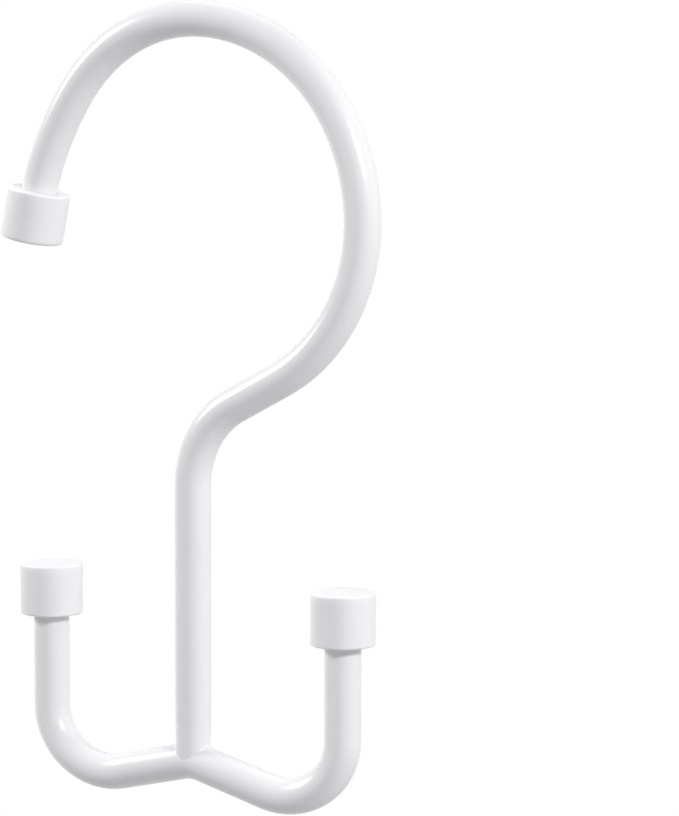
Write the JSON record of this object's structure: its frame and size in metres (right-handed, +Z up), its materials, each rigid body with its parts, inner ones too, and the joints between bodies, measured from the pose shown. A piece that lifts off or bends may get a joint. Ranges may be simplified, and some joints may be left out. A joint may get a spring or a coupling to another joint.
{
  "type": "shower curtain hook",
  "caption": "Shower curtain hook of coated steel rod: an open rail hook over a shank, a pair of upturned curtain hooks at its foot, and a moulded cap on each rod end.",
  "frame": {"origin": "rail seat: the underside of the rail hook's crown, where the hook hangs on its rail", "axes": "+Z up as it hangs; +X away from the rail hook's open side, in the plane of the rods; Y along the rail"},
  "size_m": [0.055, 0.0078, 0.099],
  "materials": {
    "coated_rod": "white powder coat, smooth and glossy, on round steel rod",
    "cap": "white moulded plastic, satin"
  },
  "bodies": {
    "root": {"hanger_rod": "coated_rod", "cross_rod": "coated_rod", "rail_cap": "cap", "left_hook_cap": "cap", "right_hook_cap": "cap"}
  },
  "joints": []
}
